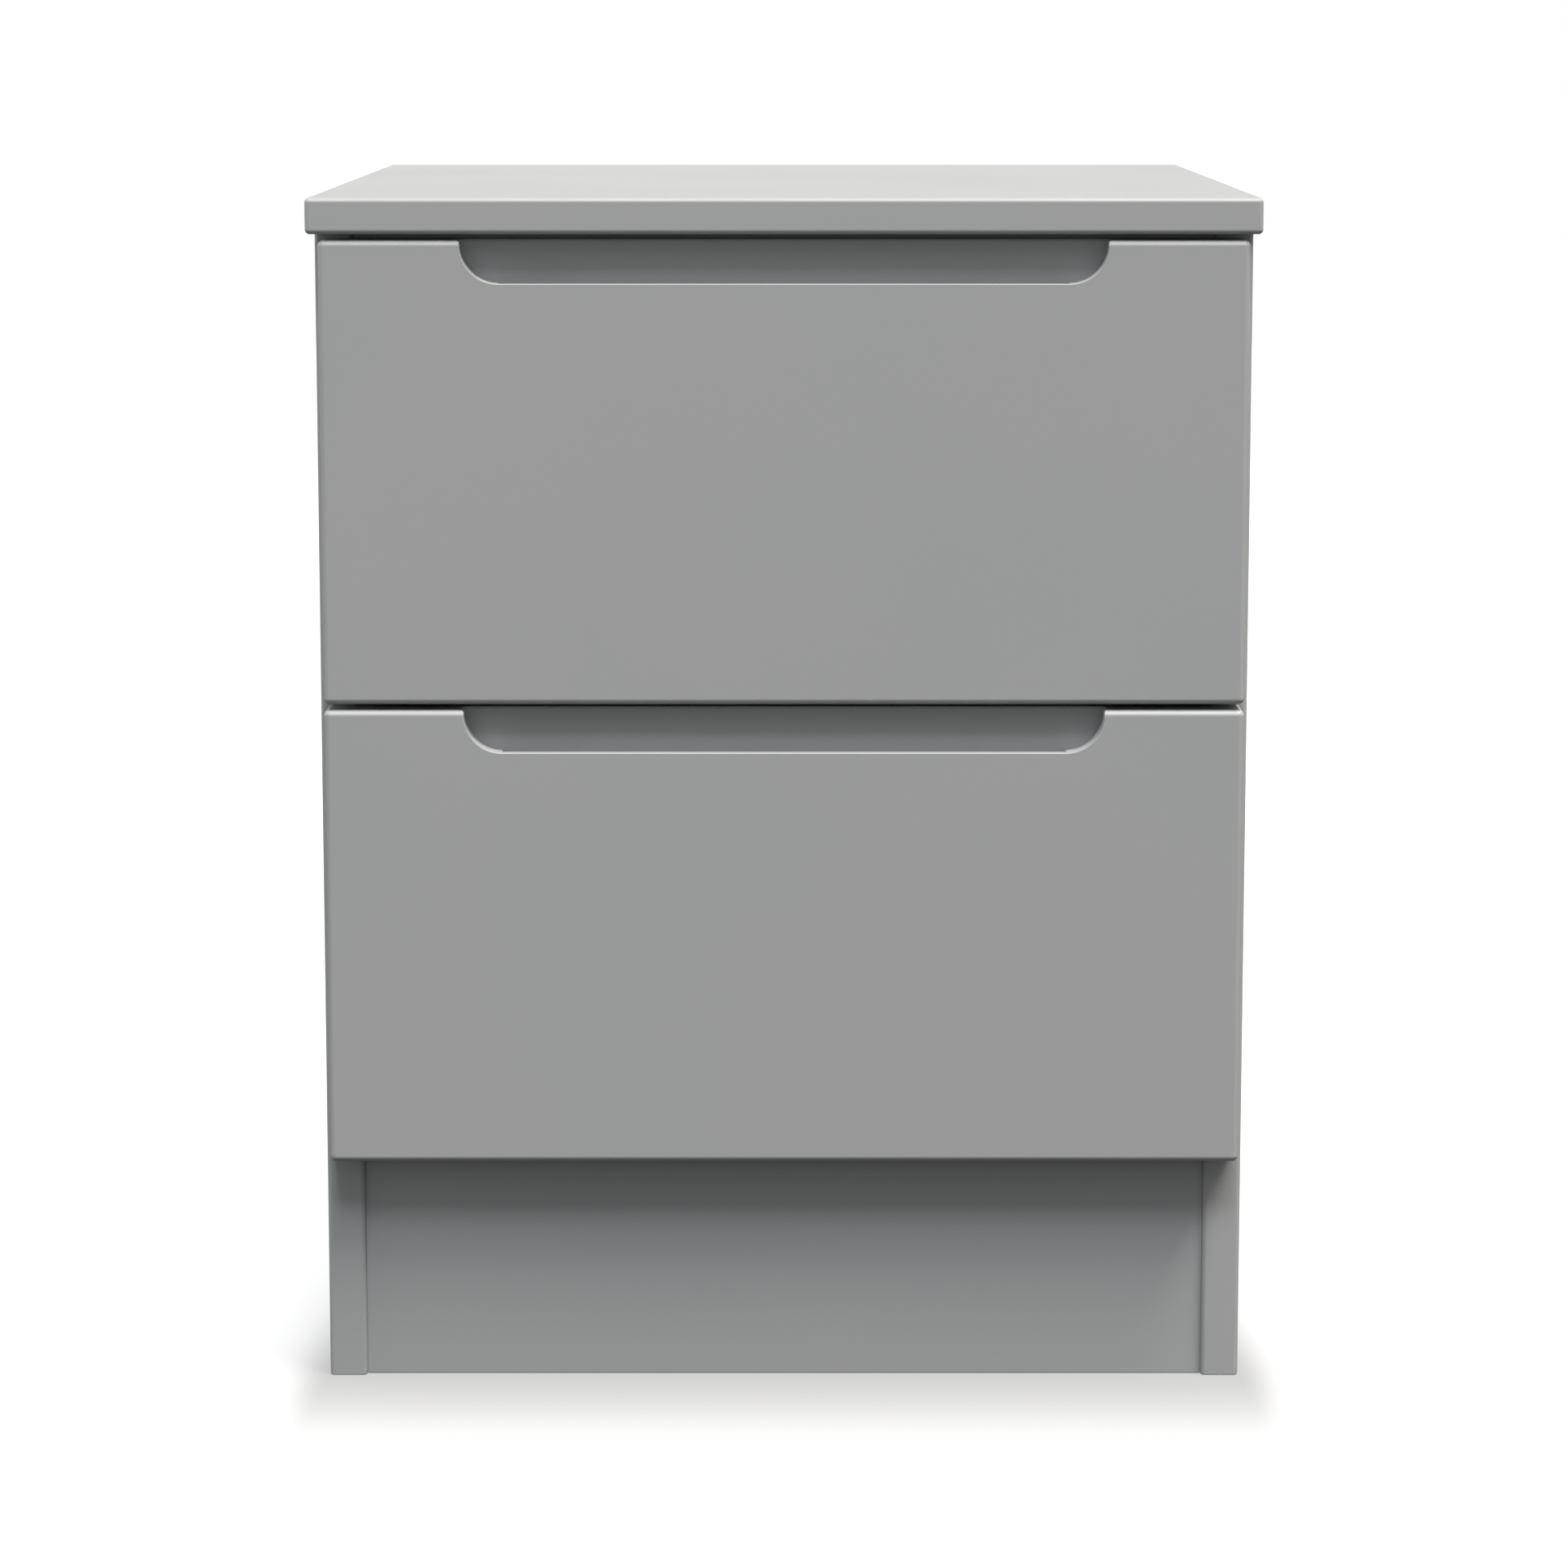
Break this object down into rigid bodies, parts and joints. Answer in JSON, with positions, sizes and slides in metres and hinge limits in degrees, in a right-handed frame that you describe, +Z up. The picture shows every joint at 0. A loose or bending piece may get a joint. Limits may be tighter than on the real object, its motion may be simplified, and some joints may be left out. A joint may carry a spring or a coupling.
{
  "type": "nightstand with drawers",
  "caption": "Bedside cabinet with full-width drawers on roller runners, wide finger recesses in the fronts' upper edges, a thin top and a recessed plinth.",
  "frame": {"origin": "on the floor, under the middle of the top panel", "axes": "+X to the right of a person facing the fronts, +Y from the fronts to the wall side, +Z up"},
  "size_m": [0.395, 0.415, 0.506],
  "materials": {
    "foil_grey": "matt light grey foil on board, with soft rounded edges",
    "box_foil": "matt pale grey foil on thin board",
    "hardboard": "raw brown hardboard, fine felted grain",
    "beech": "plain beech, fluted dowels and planed blocks",
    "zinc": "bright zinc plating and die-cast zinc",
    "white_steel": "white epoxy coating on rolled steel",
    "nylon": "moulded white nylon",
    "clear_rubber": "clear soft pads"
  },
  "bodies": {
    "cabinet": {"top_panel": "foil_grey", "left_side_panel": "foil_grey", "right_side_panel": "foil_grey", "base_panel": "foil_grey", "plinth": "foil_grey", "back_panel": "hardboard", "front_top_rail": "foil_grey", "rear_top_rail": "foil_grey", "plinth_blocks": "beech", "plinth_block_screws": "zinc", "carcass_dowels": "beech", "cam_bolts": "zinc", "cam_locks": "zinc", "back_panel_nails": "zinc", "upper_left_cabinet_runner": "white_steel", "upper_right_cabinet_runner": "white_steel", "lower_left_cabinet_runner": "white_steel", "lower_right_cabinet_runner": "white_steel", "front_roller_axles": "zinc", "cabinet_runner_screws": "zinc"},
    "upper_drawer": {"upper_drawer_front": "foil_grey", "upper_drawer_left_side": "box_foil", "upper_drawer_right_side": "box_foil", "upper_drawer_back": "box_foil", "upper_drawer_bottom": "box_foil", "upper_drawer_dowels": "beech", "upper_drawer_cam_bolts": "zinc", "upper_drawer_cam_locks": "zinc", "upper_drawer_box_screws": "zinc", "upper_drawer_bottom_screws": "zinc", "upper_drawer_left_runner": "white_steel", "upper_drawer_right_runner": "white_steel", "upper_rear_roller_axles": "zinc", "upper_drawer_runner_screws": "zinc", "upper_drawer_bumpers": "clear_rubber"},
    "lower_drawer": {"lower_drawer_front": "foil_grey", "lower_drawer_left_side": "box_foil", "lower_drawer_right_side": "box_foil", "lower_drawer_back": "box_foil", "lower_drawer_bottom": "box_foil", "lower_drawer_dowels": "beech", "lower_drawer_cam_bolts": "zinc", "lower_drawer_cam_locks": "zinc", "lower_drawer_box_screws": "zinc", "lower_drawer_bottom_screws": "zinc", "lower_drawer_left_runner": "white_steel", "lower_drawer_right_runner": "white_steel", "lower_rear_roller_axles": "zinc", "lower_drawer_runner_screws": "zinc", "lower_drawer_bumpers": "clear_rubber"},
    "upper_left_front_roller": {"upper_left_front_roller": "nylon"},
    "upper_left_rear_roller": {"upper_left_rear_roller": "nylon"},
    "upper_right_front_roller": {"upper_right_front_roller": "nylon"},
    "upper_right_rear_roller": {"upper_right_rear_roller": "nylon"},
    "lower_left_front_roller": {"lower_left_front_roller": "nylon"},
    "lower_left_rear_roller": {"lower_left_rear_roller": "nylon"},
    "lower_right_front_roller": {"lower_right_front_roller": "nylon"},
    "lower_right_rear_roller": {"lower_right_rear_roller": "nylon"}
  },
  "joints": [
    {"name": "upper_drawer_slide", "type": "slide", "parent": "cabinet", "child": "upper_drawer", "axis": [0, -1, 0], "range_m": [0, 0.26]},
    {"name": "lower_drawer_slide", "type": "slide", "parent": "cabinet", "child": "lower_drawer", "axis": [0, -1, 0], "range_m": [0, 0.26]},
    {"name": "upper_left_front_roller_spin", "type": "hinge", "parent": "cabinet", "child": "upper_left_front_roller", "pos_m": [-0.174, -0.1735, 0.3355], "axis": [1, 0, 0], "range_deg": [0, 1490]},
    {"name": "upper_left_rear_roller_spin", "type": "hinge", "parent": "upper_drawer", "child": "upper_left_rear_roller", "pos_m": [-0.174, 0.1495, 0.337], "axis": [1, 0, 0], "range_deg": [0, 1490]},
    {"name": "upper_right_front_roller_spin", "type": "hinge", "parent": "cabinet", "child": "upper_right_front_roller", "pos_m": [0.174, -0.1735, 0.3355], "axis": [1, 0, 0], "range_deg": [0, 1490]},
    {"name": "upper_right_rear_roller_spin", "type": "hinge", "parent": "upper_drawer", "child": "upper_right_rear_roller", "pos_m": [0.174, 0.1495, 0.337], "axis": [1, 0, 0], "range_deg": [0, 1490]},
    {"name": "lower_left_front_roller_spin", "type": "hinge", "parent": "cabinet", "child": "lower_left_front_roller", "pos_m": [-0.174, -0.1735, 0.1395], "axis": [1, 0, 0], "range_deg": [0, 1490]},
    {"name": "lower_left_rear_roller_spin", "type": "hinge", "parent": "lower_drawer", "child": "lower_left_rear_roller", "pos_m": [-0.174, 0.1495, 0.141], "axis": [1, 0, 0], "range_deg": [0, 1490]},
    {"name": "lower_right_front_roller_spin", "type": "hinge", "parent": "cabinet", "child": "lower_right_front_roller", "pos_m": [0.174, -0.1735, 0.1395], "axis": [1, 0, 0], "range_deg": [0, 1490]},
    {"name": "lower_right_rear_roller_spin", "type": "hinge", "parent": "lower_drawer", "child": "lower_right_rear_roller", "pos_m": [0.174, 0.1495, 0.141], "axis": [1, 0, 0], "range_deg": [0, 1490]}
  ],
  "couplings": [
    {"joint": "upper_left_front_roller_spin", "follows": "upper_drawer_slide", "rad_per_m": 100},
    {"joint": "upper_left_rear_roller_spin", "follows": "upper_drawer_slide", "rad_per_m": 100},
    {"joint": "upper_right_front_roller_spin", "follows": "upper_drawer_slide", "rad_per_m": 100},
    {"joint": "upper_right_rear_roller_spin", "follows": "upper_drawer_slide", "rad_per_m": 100},
    {"joint": "lower_left_front_roller_spin", "follows": "lower_drawer_slide", "rad_per_m": 100},
    {"joint": "lower_left_rear_roller_spin", "follows": "lower_drawer_slide", "rad_per_m": 100},
    {"joint": "lower_right_front_roller_spin", "follows": "lower_drawer_slide", "rad_per_m": 100},
    {"joint": "lower_right_rear_roller_spin", "follows": "lower_drawer_slide", "rad_per_m": 100}
  ]
}
